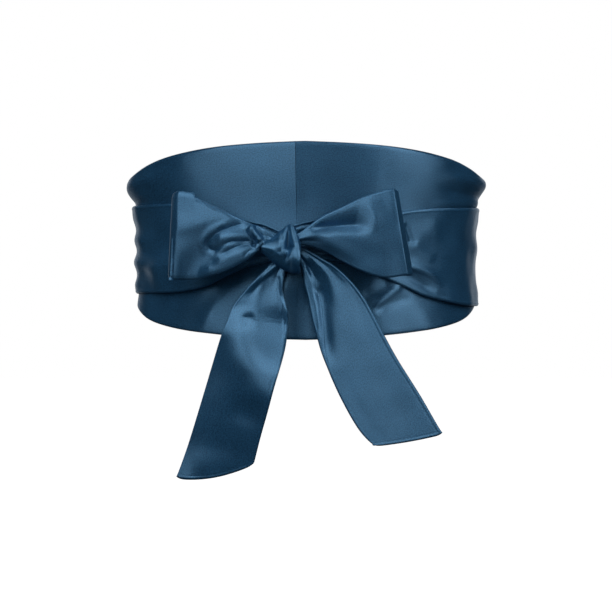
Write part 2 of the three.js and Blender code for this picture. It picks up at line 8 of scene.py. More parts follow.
import bpy
import numpy as np
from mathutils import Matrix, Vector


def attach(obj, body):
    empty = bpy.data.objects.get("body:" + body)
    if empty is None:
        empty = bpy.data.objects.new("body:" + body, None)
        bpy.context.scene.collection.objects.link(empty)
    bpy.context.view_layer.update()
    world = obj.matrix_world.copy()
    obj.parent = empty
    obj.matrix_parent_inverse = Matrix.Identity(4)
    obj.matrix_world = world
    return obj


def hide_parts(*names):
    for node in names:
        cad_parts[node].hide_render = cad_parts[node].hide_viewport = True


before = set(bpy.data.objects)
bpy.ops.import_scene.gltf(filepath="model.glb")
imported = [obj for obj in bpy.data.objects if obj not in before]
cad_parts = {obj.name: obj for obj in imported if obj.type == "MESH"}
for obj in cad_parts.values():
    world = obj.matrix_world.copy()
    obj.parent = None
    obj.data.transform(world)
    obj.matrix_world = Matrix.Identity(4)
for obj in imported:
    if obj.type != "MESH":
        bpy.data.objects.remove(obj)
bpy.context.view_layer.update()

MM = 0.001
BODY = "root"

# Cloth: the panel is two layers of satin round a stiffener, the ties are two layers of satin
PANEL_WALL = 1.9
TIE_WALL = 1.3
KNOT_WALL = 1.5
# The middle of the panel's cloth stands this far outside the waist
PANEL_OFF = 1.0

# How many steps each piece's grid has along the cloth and across it
Grid = namedtuple("Grid", "along across")
PANEL_LEFT_GRID = Grid(170, 110)
PANEL_RIGHT_GRID = Grid(180, 110)
BACK_GRID = Grid(130, 64)
WRAP_GRID = Grid(240, 80)
LOOP_GRID = Grid(250, 96)
TAIL_GRID = Grid(190, 96)
KNOT_GRID = Grid(220, 110)

# Soft random swells of each kind of piece, as cloth has that isn't pressed flat
Swells = namedtuple("Swells", "wavelength amount")
PANEL_SWELLS = Swells(34, 0.10)
BACK_SWELLS = Swells(22, 0.12)
WRAP_SWELLS = Swells(26, 0.12)
LOOP_SWELLS = Swells(18, 0.1)
TAIL_SWELLS = Swells(30, 0.07)

# The form: the tables of the part's own solids, which only stand a little further apart at the joints
# at the back
Waist = namedtuple("Waist", "height half_width half_depth")
WAIST = [
    Waist(-68, 119.6, 91.2),
    Waist(-54, 118.6, 90.4),
    Waist(-43, 116, 89.4),
    Waist(-30, 114.2, 88.4),
    Waist(-12, 113.8, 88),
    Waist(8, 114.2, 88.3),
    Waist(21, 116.2, 89),
    Waist(32, 120.6, 89.8),
    Waist(44, 124.4, 90.4),
    Waist(68, 127, 91.2),
]

PANEL_END = 138
CENTRE_SEAM = -3
PanelEdge = namedtuple("PanelEdge", "angle top low")
PANEL_EDGES = [
    PanelEdge(0, 65.3, -67.4),
    PanelEdge(15, 64.2, -66.4),
    PanelEdge(28, 62.3, -64.3),
    PanelEdge(40, 59.2, -62),
    PanelEdge(52, 54.8, -58.8),
    PanelEdge(63, 50, -55),
    PanelEdge(74, 45.4, -50),
    PanelEdge(90, 41.5, -43.5),
    PanelEdge(110, 36, -37),
    PanelEdge(138, 30, -30),
]

# The two stretches that cross at the back: the middle of each, half its width, and its stand-off
Back = namedtuple("Back", "angle mid half off gather")
BACK_OUTER = [
    Back(138, 0, 30, 1, 0),
    Back(145, 10, 23, 1.5, 0.5),
    Back(152, 17.6, 16, 2.2, 1.1),
    Back(165, 17.6, 15.5, 5.2, 1.3),
    Back(180, 0, 18, 7.4, 1.4),
    Back(195, -17.6, 15.5, 7, 1.3),
    Back(208, -17.6, 16, 6.6, 1.1),
    Back(215, -12, 23, 6, 0.8),
    Back(222, -7, 29, 5, 0.6),
]
BACK_INNER = [
    Back(138, -9, 31, 5, 0.6),
    Back(145, -13, 23, 6, 0.8),
    Back(152, -17.6, 16, 6.4, 1.1),
    Back(165, -17.6, 15.5, 3.2, 1.3),
    Back(180, 0, 18, 2.2, 1.1),
    Back(195, 17.6, 15.5, 2, 1.1),
    Back(208, 17.6, 16, 2, 1.1),
    Back(215, 10, 23, 1.5, 0.5),
    Back(222, 0, 30, 1, 0),
]
BACK_PLEATS = 3

# The ties over the panel, from the back to the knot
Wrap = namedtuple("Wrap", "angle top low off gather")
WRAP_LEFT = [
    Wrap(-138, 22, -36, 5, 0.6),
    Wrap(-128, 24, -36.5, 3.8, 0.5),
    Wrap(-110, 25, -36.5, 3.6, 0.2),
    Wrap(-90, 24.5, -36.2, 3.6, 0),
    Wrap(-77, 24.5, -36, 3.6, 0),
    Wrap(-64, 24.5, -36, 3.6, 0),
    Wrap(-52, 24.5, -36, 3.6, 0),
    Wrap(-43, 23, -34.9, 3.6, 0),
    Wrap(-33.5, 19, -31.3, 3.9, 0.3),
    Wrap(-24, 12, -23.2, 4.4, 0.5),
    Wrap(-18.8, 8, -18.7, 5, 0.7),
    Wrap(-11, 4, -15.3, 6, 0.9),
    Wrap(-8.2, 3, -14.5, 6.4, 1),
]
WRAP_RIGHT = [
    Wrap(138, 22, -40, 5, 0.6),
    Wrap(128, 23, -42.5, 3.8, 0.5),
    Wrap(110, 23.5, -44.5, 3.6, 0.2),
    Wrap(90, 23.2, -44.8, 3.8, 0),
    Wrap(75, 22.8, -44.6, 4.8, 0),
    Wrap(61, 22, -43.8, 6.6, 0),
    Wrap(44, 21, -38.7, 4.6, 0),
    Wrap(33, 18.5, -31, 3.6, 0.3),
    Wrap(24, 12.5, -24, 4.3, 0.8),
    Wrap(12, 7, -16.5, 5, 1.2),
    Wrap(0, 4, -13, 6, 1.5),
    Wrap(-7.7, 3, -12.5, 6.4, 1.5),
]
WRAP_PLEATS = 3

# The bow's loops in the front view, from the knot round the turned end and back to the knot
Loop = namedtuple("Loop", "top_x top_z low_x low_z y gather")
LOOP_LEFT = [
    Loop(-18, 1, -18, -9, -111, 1.2),
    Loop(-29, 8, -29, -7.6, -112, 2),
    Loop(-37.5, 11, -37, -14, -112.5, 1.6),
    Loop(-54, 18.8, -53, -22.4, -112, 0.7),
    Loop(-71, 26.4, -69, -26.7, -111.9, 0.2),
    Loop(-74, 29.9, -74.6, -27.3, -111.8, 0.1),
    Loop(-79.5, 30.8, -81, -27.7, -111.5, 0),
    Loop(-84.4, 31.3, -86.2, -27.7, -110.8, 0),
    Loop(-87, 31.2, -89.4, -27.6, -107.6, 0),
    Loop(-88.3, 30.6, -91, -27.4, -102.5, 0),
    Loop(-86, 30, -88, -27, -98, 0),
    Loop(-79, 28.6, -80, -26.6, -95.8, 0),
    Loop(-69, 24.5, -69, -25, -95.8, 0.2),
    Loop(-53, 18, -53, -20, -98.5, 0.6),
    Loop(-37, 12, -38, -12, -104, 1),
    Loop(-27, 9.6, -28, -7, -106.5, 1.1),
    Loop(-17, 5, -18, -7, -107, 0.8),
]
LOOP_RIGHT = [
    Loop(-12, 1, -12, -8, -112, 1.2),
    Loop(-3.5, 4.6, -3.5, -4.6, -112.5, 1.8),
    Loop(9.5, 14.3, 9.5, -7.5, -113, 1.5),
    Loop(23.2, 20.9, 22.5, -14.8, -113, 0.8),
    Loop(37.6, 27.6, 36.5, -21.8, -112.5, 0.3),
    Loop(50.5, 31.5, 51, -26.2, -112.4, 0),
    Loop(56.4, 32.9, 65, -24.8, -112, 0),
    Loop(58.2, 33, 67.6, -24.6, -110.6, 0),
    Loop(60.3, 32.4, 70.7, -24.6, -104, 0),
    Loop(57.5, 31.6, 67, -24.6, -98, 0),
    Loop(50, 29, 54, -24, -95.8, 0),
    Loop(37, 24.5, 38, -20, -96.5, 0.3),
    Loop(22, 18, 22, -13, -99.5, 0.8),
    Loop(5, 12.4, 6, -7, -104.5, 1.1),
    Loop(-3, 10.6, -3, -4, -106.5, 1.1),
    Loop(-13, 7, -12, -5, -107, 0.8),
]
LOOP_PLEATS = 2.5
LOOP_BELLY = 3
# A loop's folds fade fast where it turns over, and its front leaf loses this share of its gathers
LOOP_FRONT_POWER = 0.3
LOOP_FRONT_CALM = 0.75
# Moves the back leaf's swells sideways, so that they don't repeat the front leaf's
LOOP_BACK_SHIFT = 40

# The tails in the front view, from behind the knot down to the tip
Tail = namedtuple("Tail", "out_x out_z in_x in_z out_y in_y gather")
TAIL_LEFT = [
    Tail(-20, -8, -12, -10, -101.4, -101.4, 0.6),
    Tail(-23, -15, -12.5, -17, -102, -102.4, 0.8),
    Tail(-29.4, -22.1, -14.5, -27, -102.4, -103, 0.6),
    Tail(-38, -31, -15.5, -38, -102.8, -104, 0.4),
    Tail(-48.2, -43.5, -11.7, -49, -103.6, -106, 0.3),
    Tail(-52.7, -54, -12, -61, -104.6, -108, 0.2),
    Tail(-57.5, -67, -14.5, -76, -106, -110, 0.1),
    Tail(-65.3, -92.8, -22.6, -105, -107, -111.5, 0),
    Tail(-72, -115, -28.7, -126.5, -104.5, -108.5, 0),
    Tail(-79, -137.5, -32.8, -142.5, -102, -105, 0),
    Tail(-87, -160.3, -34.6, -150.7, -101, -103.6, 0),
]
TAIL_RIGHT = [
    Tail(-9, 0, -9, -9, -103, -102, 0.6),
    Tail(-3.5, -4.6, -4.5, -16, -104, -102.5, 0.9),
    Tail(8, -11.6, -2.2, -22, -105, -102.8, 0.9),
    Tail(20, -18.6, -1.3, -30, -105.8, -103, 0.7),
    Tail(30, -28, 1.1, -39, -106.8, -103.6, 0.5),
    Tail(38, -38.5, 3.3, -51, -107.8, -104.6, 0.3),
    Tail(44.3, -49.5, 6.4, -62.5, -108.8, -105.8, 0.2),
    Tail(52.3, -65, 12.6, -82, -109.8, -107, 0.1),
    Tail(61.5, -81.5, 22, -104, -110.8, -108, 0),
    Tail(76.5, -105.5, 34, -125.5, -111.8, -109, 0),
    Tail(90.2, -130, 44.7, -138, -112.4, -109.8, 0),
]
TAIL_PLEATS = 2
# The tails' gathers show this share of what their table says
TAIL_GATHER_SHARE = 0.6
# A tip bows out over the last of ten equal parts of the tail. Its corners are rounded off by this
# much, over a reach that the two powers keep short along the tail and across it.
TIP_BOW_LEFT = 3.5
TIP_BOW_RIGHT = 0.8
TAIL_PARTS = 10
TIP_CORNER = 1.6
TIP_CORNER_ALONG = 40
TIP_CORNER_ACROSS = 14

# The knot, as sections from its left end to its right end, squared off a little
KNOT_ROUND = 1 / 1.2
Knot = namedtuple("Knot", "x top low front back")
KNOT = [
    Knot(-29.2, -2, -8.6, -113, -106),
    Knot(-27.6, -1.4, -10.2, -114.4, -102),
    Knot(-22.5, 0.6, -14.8, -116, -97),
    Knot(-16.5, 4.6, -19.2, -117.8, -95.6),
    Knot(-10.6, 8.8, -22, -118.4, -95.6),
    Knot(-7.6, 6.4, -22.6, -119.6, -96),
    Knot(-5.4, 2.2, -22.8, -120, -98),
    Knot(-4, -3.4, -22, -119, -102),
]

# Folds. Each follows a smooth line through the points of its path, stands out by `depth` (or sinks
# where that is negative) and is `width` from its crest to where it has nearly died away. `lean`
# widens it on the left of its path and narrows it on the right. A low `power` makes its crest crisp.
# `fade_in` and `fade_out` are the shares of its length over which it rises and dies. `flare` is the
# share of its width that it lacks at its start.
Fold = namedtuple(
    "Fold", "path depth width lean power fade_in fade_out flare", defaults=(0, 2, 0.25, 0.25, 0)
)

# Folds of the front of the panel, as (x, z) in the front view
PANEL_FOLDS = [
    Fold([(43, -46), (51.4, -39.8), (58.4, -34.4), (66, -29)], 1.5, 2.6),
    Fold([(36, -38), (46, -35), (58, -28)], -0.6, 3.4),
    Fold([(45, -49), (58, -43), (72, -38)], -1.0, 3.2),
    Fold([(-90, -38), (-86, -40), (-80, -38)], -0.4, 2.6),
    # pressed forward by the gathered ties, so that it leans back below them
    Fold([(-40, -27), (-6, -25), (26, -27)], 5.0, 15, fade_in=0.5, fade_out=0.5),
    Fold([(-16, -20), (-16, -70)], 3.4, 9, fade_in=0.3, fade_out=0),
    # drawn in along the lower edge at the right
    Fold([(24, -74), (56, -70), (84, -58)], -1.5, 16),
    # drawn up from below towards the knot at the left
    Fold([(-74, -70), (-60, -48), (-44, -34), (-26, -24)], 1.8, 9, lean=-0.2, fade_in=0.3, fade_out=0.3),
]

# Folds of the ties where they lie over the panel, as (x, z) in the front view
WRAP_LEFT_FOLDS = [
    # the bulge over the lower half, and the ridges that run into the knot
    Fold(
        [(-112, -21), (-92, -18), (-70, -15), (-46, -12), (-26, -6)],
        7.2, 13, lean=-0.5, fade_in=0.2, fade_out=0.4,
    ),
    Fold([(-60, 12), (-45, 6), (-30, 2)], 1.4, 3.4, fade_out=0),
    Fold([(-62, -16), (-46, -12), (-30, -6)], 1.4, 3.2, fade_out=0),
]
WRAP_RIGHT_FOLDS = [
    # the ridge above the lower edge at the right, and the valley below it
    Fold(
        [(92.7, -32.1), (89, -27.8), (84, -23.9), (76.7, -20.8), (66, -18.4), (40, -17)],
        2.4, 2.6, lean=-0.3, power=1.3,
    ),
    Fold([(90, -36), (80, -31), (68, -25), (50, -20)], -1.4, 3.4),
    # the creases beside the loop, and the ridges that run into the knot
    Fold([(66, 12), (69, 4), (71, -4)], -1.0, 2.0, power=1.4),
    Fold([(62, -9), (68.5, -4), (77, 2), (86, 9), (93, 14)], 0.9, 7, fade_in=0.3, fade_out=0.3),
    Fold([(70, -1), (78, -9), (88, -15)], 0.9, 4.0),
    Fold([(60, 6), (40, 4), (10, 2)], 1.4, 3.4, fade_out=0),
    Fold([(60, -12), (36, -9), (8, -5)], 1.2, 3.2, fade_out=0),
]

# Folds at the sides, as (angle, height): each runs round the waist
SideFold = namedtuple("SideFold", "start end depth width")
PANEL_LEFT_SIDE_FOLDS = [
    SideFold((-100, 33), (-48, 44), 1.4, 4.5),
    SideFold((-104, 27), (-60, 27), -1.2, 3),
    SideFold((-96, 40), (-40, 53), -1.1, 4.5),
]
PANEL_RIGHT_SIDE_FOLDS = [
    SideFold((96, 37), (44, 43), 1.3, 3.4),
    SideFold((100, 29), (46, 34), -1.2, 3.0),
    SideFold((90, 26), (44, 24), 0.9, 3.0),
    SideFold((92, 44), (46, 52), -1.0, 4.4),
]
WRAP_LEFT_SIDE_FOLDS = [
    SideFold((-138, 3), (-58, 0), 1.9, 5),
    SideFold((-138, -12), (-52, -16), 2.4, 5),
    SideFold((-138, 15), (-72, 17), 1.5, 6),
    SideFold((-138, -29), (-70, -30), 1.3, 4),
]
WRAP_RIGHT_SIDE_FOLDS = [
    SideFold((138, -8), (62, -3), 1.6, 7),
    SideFold((138, 14), (80, 14), 1.4, 6),
    SideFold((138, -32), (76, -36), 1.2, 6),
]

# Folds of the loops' front leaves
LOOP_LEFT_FOLDS = [
    # the long ridge from the outer edge to the neck, the valley below it, the rise along the top edge
    # and the lower edge, which falls away
    Fold([(-93, 3), (-78, 7.6), (-61, 13), (-48, 15), (-36, 12)], 1.6, 7.0, lean=0.35),
    Fold([(-61, 6), (-66, -4), (-72, -15), (-78, -26), (-84, -38)], -4.4, 10.5, fade_in=0.35, fade_out=0),
    Fold([(-92, 36), (-74, 33), (-54, 22), (-38, 14)], 2.0, 12, fade_in=0.1),
    Fold([(-44, -48), (-70, -45), (-90, -38), (-110, -30)], -9, 22, lean=-0.3, fade_in=0.7, fade_out=0),
    # the pillow inside the long crease, the crease round it and the ridge outside
    Fold([(-36, 4.5), (-48, 1.6), (-60, -2)], 1.8, 4.6, fade_in=0),
    Fold(
        [(-40, 9.6), (-46, 8.6), (-52.3, 6.3), (-59.3, 3.1), (-64.2, -1.2), (-65.6, -5.0), (-61.2, -8.0),
         (-57.4, -6.3), (-52.3, -3.1), (-46, -1.9), (-34, -1.9)],
        -2.0, 1.7, power=1.4, fade_in=0.08, fade_out=0.1,
    ),
    Fold(
        [(-46, 12), (-51, 10.4), (-61.2, 5.7), (-67.5, -0.6), (-68.8, -5.1), (-66.9, -8.6), (-62, -10.8)],
        1.5, 2.4,
    ),
    # the lower folds that run out of the knot
    Fold([(-58, -12.6), (-52.3, -8.9), (-46, -5.7), (-34, -3.5)], -1.5, 1.8, power=1.5, fade_out=0.05),
    Fold([(-60, -8.5), (-52, -5.4), (-42, -3.6)], 0.9, 2.2),
    Fold([(-62, -18), (-52, -12.6), (-42, -9), (-33, -7)], 1.6, 3.2, fade_out=0),
    Fold([(-42, -13), (-37.1, -8.4), (-29.5, -6.8)], -1.4, 1.6, power=1.5, fade_out=0),
    Fold([(-76, -24), (-58, -20), (-40, -12), (-26, -6)], 1.6, 4.5, fade_out=0.1),
    # the rolled finger at the neck, the grooves beside it and the hole below
    Fold([(-37.4, 8.2), (-34.6, 4.2), (-31.4, 0.4), (-29, -2.6)], 3.0, 2.4, fade_in=0.15, fade_out=0),
    Fold([(-39.6, 6.6), (-37.2, 2.6), (-33.6, -1.6)], -1.8, 1.2, fade_out=0),
    Fold([(-34.6, 8.2), (-31.6, 4.2), (-28, 0)], -1.8, 1.2, fade_out=0),
    Fold([(-36.2, -3.6), (-32.4, -4.6)], -2.2, 1.8, fade_in=0.1, fade_out=0.1),
]
LOOP_RIGHT_FOLDS = [
    # the hollow under the top edge, and the ridges in front of it and round its end
    Fold(
        [(2, 4), (14, 6.8), (24, 8.2), (34, 8.8), (45, 8.6)],
        -6.4, 6.4, lean=0.15, power=1.7, fade_in=0.25, fade_out=0.3, flare=0.6,
    ),
    Fold([(-2, 2), (6, 3.4), (14, 4.8), (30, 5.6)], 0.6, 2.8, fade_in=0, fade_out=0.5),
    Fold(
        [(37, 28), (43.4, 19), (46.6, 12.8), (47.4, 8), (45, 2)],
        0.8, 4, lean=0.2, fade_in=0.4, fade_out=0.4,
    ),
    # the lower folds that run out of the knot
    Fold([(-6, 0.6), (4, 1), (13, -2), (24, -8), (38, -17)], 1.6, 4.2, lean=0.3, fade_in=0, fade_out=0.6),
    Fold([(-6, -6), (4, -7), (14, -11), (26, -18), (38, -24)], -2.4, 5, fade_in=0, fade_out=0.6),
]

# Folds of the tails
TAIL_LEFT_FOLDS = [
    # the rolled edge at the top left
    Fold([(-17.5, -16), (-25, -22), (-33, -28.6), (-42, -38)], 2.4, 3.2, lean=-0.4, fade_in=0, fade_out=0.4),
    # the fold along the right edge, with a narrow valley beside it
    Fold([(-15.4, -22), (-15.6, -34), (-13, -46), (-13.2, -60), (-16, -74)], 0.8, 1.1, fade_in=0.1),
    Fold([(-18, -24), (-18, -34), (-15.6, -47), (-16, -60)], -0.7, 1.1, fade_in=0.1),
    # the dimple, the belly, the right side and the left edge that fall away from it, a dip and the
    # lower swell
    Fold([(-45, -52), (-39, -53.4), (-33, -51.6)], -1.3, 4.2, lean=-0.3, fade_in=0.4, fade_out=0.4),
    Fold([(-48, -44), (-46, -60), (-42, -76), (-34, -88), (-22, -94), (-6, -94)], 4.2, 12, lean=-0.2),
    Fold([(-9, -42), (-10, -60), (-16, -82), (-23, -110)], -2.8, 20),
    Fold(
        [(-45, -32), (-54, -46), (-60, -60), (-65, -74), (-72, -94), (-82, -120), (-96, -165)],
        -12.0, 12, fade_in=0.5, fade_out=0,
    ),
    Fold([(-50, -108), (-38, -116), (-24, -118)], -1.0, 8, fade_in=0.4, fade_out=0.4),
    Fold([(-78, -153), (-60, -149), (-42, -149)], 0.6, 9, fade_in=0.35, fade_out=0.35),
]
TAIL_RIGHT_FOLDS = [
    # the roll along the left edge, and the dark triangle beside it at the knot
    Fold([(-3.4, -14), (-1, -25), (2.4, -40), (8, -58), (14, -76)], 0.8, 3.2, fade_in=0, fade_out=0.5),
    Fold([(-1, -15), (3, -19.6), (6, -26), (7.4, -33)], -2.0, 3.2, power=1.7, fade_in=0.2, fade_out=0.4),
    # the long valley, wide on its left, and the edge at the top right
    Fold(
        [(4, -26), (8.4, -35), (10.4, -42), (11.4, -50), (12.4, -62), (13.6, -74), (17.6, -88)],
        -3.4, 4.4, lean=0.25, fade_in=0.2, fade_out=0.35,
    ),
    Fold([(2, -7.4), (12, -14.6), (22, -23), (30, -32)], 0.3, 1.8, fade_in=0),
]

# Relief of the knot's front
KNOT_FOLDS = [
    # the wing's crest, gentle at its left and steep at its right, and the slack above the wing
    Fold([(-16.6, 7), (-16.8, 0), (-17, -5), (-17, -10)], 1.8, 2.2, lean=-0.7, power=1.2, fade_in=0),
    Fold([(-31, 0), (-24, 2.6), (-18, 7), (-12, 12)], -2.6, 3.4, lean=0.5, power=1.6, fade_in=0),
    # the drop-shaped hollow and its thin rim
    Fold(
        [(-11.6, 10), (-12.4, 4), (-12.8, -3), (-12.8, -9)],
        -4.4, 2.9, lean=0.6, fade_in=0.1, fade_out=0.15, flare=0.4,
    ),
    Fold([(-15.1, 1), (-15.2, -4), (-14.8, -8), (-13.5, -11), (-11.6, -12.8)], 1.5, 1.1, power=1.5),
    # the side that falls away to the right, and the swelling band below it
    Fold([(-9, 11), (-5.4, 4), (-3.4, -4)], -1.8, 5.6, fade_in=0.1, fade_out=0.35),
    Fold([(-13, -12.6), (-8, -14.4), (-3, -17)], 2.8, 5.6, lean=0.3, fade_in=0.25, fade_out=0),
    # the edge between the wing's front and its underside
    Fold([(-30, -5.6), (-23, -7.2), (-19.5, -9.4), (-13, -12.6)], 1.2, 2.4, power=1.5, fade_in=0),
]


def column(table, name, place):
    """A smooth curve through one column of a table, at places from 0, its first row, to 1, its last."""
    values = np.array([getattr(row, name) for row in table], float)
    last = len(values) - 1
    at = np.clip(place, 0, 1) * last
    row = np.minimum(at.astype(int), last - 1)
    before, start, end, after = (values[np.clip(row + step, 0, last)] for step in (-1, 0, 1, 2))
    t = at - row
    slope_start = (end - before) / 2
    slope_end = (after - start) / 2
    rise = end - start
    return (
        start + slope_start * t + (3 * rise - 2 * slope_start - slope_end) * t**2
        + (slope_start + slope_end - 2 * rise) * t**3
    )


FINE_STEPS = 600
SOFTENING = 0.025


def look_up(table, key, name, value):
    """The value of one column where another column has a value, on a curve with no kinks in it."""
    rows = sorted(table, key=lambda row: getattr(row, key))
    keys = np.array([getattr(row, key) for row in rows], float)
    values = np.array([getattr(row, name) for row in rows], float)
    slopes = np.gradient(values, keys)
    fine = np.linspace(keys[0], keys[-1], FINE_STEPS)
    row = np.clip(np.searchsorted(keys, fine) - 1, 0, len(keys) - 2)
    span = keys[row + 1] - keys[row]
    t = (fine - keys[row]) / span
    curve = (
        values[row] * (1 - t) ** 2 * (1 + 2 * t) + values[row + 1] * t**2 * (3 - 2 * t)
        + slopes[row] * span * t * (1 - t) ** 2 - slopes[row + 1] * span * t**2 * (1 - t)
    )
    spread = int(FINE_STEPS * SOFTENING)
    weights = np.exp(-((np.arange(-3 * spread, 3 * spread + 1) / spread) ** 2))
    padded = np.pad(curve, 3 * spread, mode="reflect", reflect_type="odd")
    softened = np.convolve(padded, weights / weights.sum(), mode="valid")
    return np.interp(value, fine, softened)


def columns(table, place):
    """Every column of a table at the same places."""
    return [column(table, name, place) for name in table[0]._fields]


def mix(low, high, share):
    return low + (high - low) * share


def waist_point(angle, height, off):
    """Points that stand `off` outside the waist."""
    turn = np.radians(angle)
    a = look_up(WAIST, "height", "half_width", height)
    b = look_up(WAIST, "height", "half_depth", height)
    normal_x = b * np.sin(turn)
    normal_y = -a * np.cos(turn)
    size = np.hypot(normal_x, normal_y)
    x = a * np.sin(turn) + off * normal_x / size
    y = -b * np.cos(turn) + off * normal_y / size
    return np.stack([x, y, height + 0 * x], axis=-1)


PATH_STEPS = 6


def smooth_path(path):
    """Points along a smooth line through the points of a path."""
    Point = namedtuple("Point", "x z")
    table = [Point(*point) for point in path]
    places = np.linspace(0, 1, PATH_STEPS * (len(path) - 1) + 1)
    return np.stack([column(table, "x", places), column(table, "z", places)], axis=-1)


def smooth_step(value):
    value = np.clip(value, 0, 1)
    return value * value * (3 - 2 * value)


def fold_height(x, z, fold):
    """How far one fold stands out at each point."""
    points = smooth_path(fold.path)
    lengths = np.hypot(*np.diff(points, axis=0).T)
    starts = np.concatenate([[0], np.cumsum(lengths)[:-1]])
    total = lengths.sum()
    nearest = np.full(x.shape, np.inf)
    side = np.zeros(x.shape)
    along = np.zeros(x.shape)
    for start, end, length, run in zip(points[:-1], points[1:], lengths, starts):
        dx, dz = (end - start) / length
        reach = np.clip((x - start[0]) * dx + (z - start[1]) * dz, 0, length)
        away_x = x - start[0] - dx * reach
        away_z = z - start[1] - dz * reach
        distance = np.hypot(away_x, away_z)
        closer = distance < nearest
        nearest = np.where(closer, distance, nearest)
        side = np.where(closer, np.sign(dx * away_z - dz * away_x), side)
        along = np.where(closer, (run + reach) / total, along)
    width = fold.width * (1 + fold.lean * side) * (1 - fold.flare * (1 - along))
    strength = np.ones(x.shape)
    if fold.fade_in:
        strength *= smooth_step(along / fold.fade_in)
    if fold.fade_out:
        strength *= smooth_step((1 - along) / fold.fade_out)
    return fold.depth * strength * np.exp(-((nearest / width) ** fold.power))


def fold_heights(folds, x, z):
    return sum((fold_height(x, z, fold) for fold in folds), np.zeros(x.shape))


# Degrees round the waist are about two millimetres each, so a side fold is measured in millimetres
MM_PER_DEGREE = 1.85


def side_fold_heights(folds, angle, height):
    as_folds = [
        Fold(
            [(fold.start[0] * MM_PER_DEGREE, fold.start[1]), (fold.end[0] * MM_PER_DEGREE, fold.end[1])],
            fold.depth, fold.width,
        )
        for fold in folds
    ]
    return fold_heights(as_folds, angle * MM_PER_DEGREE, height)


# How gathers drift sideways and swell: slow waves, each with its amount, its rates along the tie and
# across it, and its phase
Wander = namedtuple("Wander", "amount along across phase")
DRIFTS = [Wander(0.045, 5, 10.7, 0), Wander(0.025, 9, 0, 2.4)]
SWELLING = Wander(0.45, 7, 8.8, 1.3)


def wander(wave, across, turn):
    return wave.amount * np.sin(wave.along * turn + wave.across * across + wave.phase)


def gathers(amount, waves, across, turn):
    """Lengthwise gathers: waves across the width of a tie, flat at its two edges. They drift
    sideways, swell and fade with `turn`, which grows along the tie."""
    drift = sum(wander(wave, across, turn) for wave in DRIFTS)
    swell = 1 + wander(SWELLING, across, turn)
    in_the_middle = np.sin(np.pi * np.clip(across, 0, 1))
    drifted = across + drift * in_the_middle
    return amount * swell * np.sin(2 * np.pi * waves * drifted) * np.sqrt(in_the_middle)


SWELL_WAVES = 9
SHORTEST_SWELL = 0.7
LONGEST_SWELL = 1.6


def unevenness(x, z, seed, swells):
    """The sum of a few seeded waves that run in random directions."""
    random = np.random.default_rng(seed)
    total = np.zeros(x.shape)
    for _ in range(SWELL_WAVES):
        direction = random.uniform(0, 2 * math.pi)
        length = swells.wavelength * random.uniform(SHORTEST_SWELL, LONGEST_SWELL)
        phase = random.uniform(0, 2 * math.pi)
        run = x * math.cos(direction) + z * math.sin(direction)
        total += np.sin(2 * math.pi * run / length + phase)
    return swells.amount * total * math.sqrt(2 / SWELL_WAVES)


# A rounded edge: the cloth swells a little where its seam allowance is turned in, dips behind it, and
# the seam itself rolls a little to the inside
ROLL_BACK = 0.65
ROLL_REACH = 1.6
ROLL_PLACE = 1.3
ROLL_WIDTH = 0.7
ROLL_HEIGHT = 0.12
DIP_PLACE = 2.6
DIP_WIDTH = 0.7
DIP_DEPTH = 0.05

# An end that is sewn to a neighbour is rounded over a very short reach, at a step of its own
SEAM_ROUND = 0.05
SEAM_STEP = 0.03


def half_wall(reach, wall):
    """Half the cloth's thickness at a distance from its free edge."""
    half = wall / 2
    round_rim = half * np.sqrt(1 - (1 - np.minimum(reach / half, 1)) ** 2)
    roll = ROLL_HEIGHT * np.exp(-(((reach - ROLL_PLACE) / ROLL_WIDTH) ** 2))
    dip = DIP_DEPTH * np.exp(-(((reach - DIP_PLACE) / DIP_WIDTH) ** 2))
    return round_rim + np.minimum(reach / half, 1) * (roll - dip)


# Places along a grid: even, or crowded together towards ends whose rounded rim shows
def even(steps):
    return np.linspace(0, 1, steps + 1)


def crowded(steps):
    return 0.5 - 0.5 * np.cos(np.pi * even(steps))


def crowded_start(steps):
    return 1 - np.cos(np.pi / 2 * even(steps))


def crowded_end(steps):
    return np.sin(np.pi / 2 * even(steps))


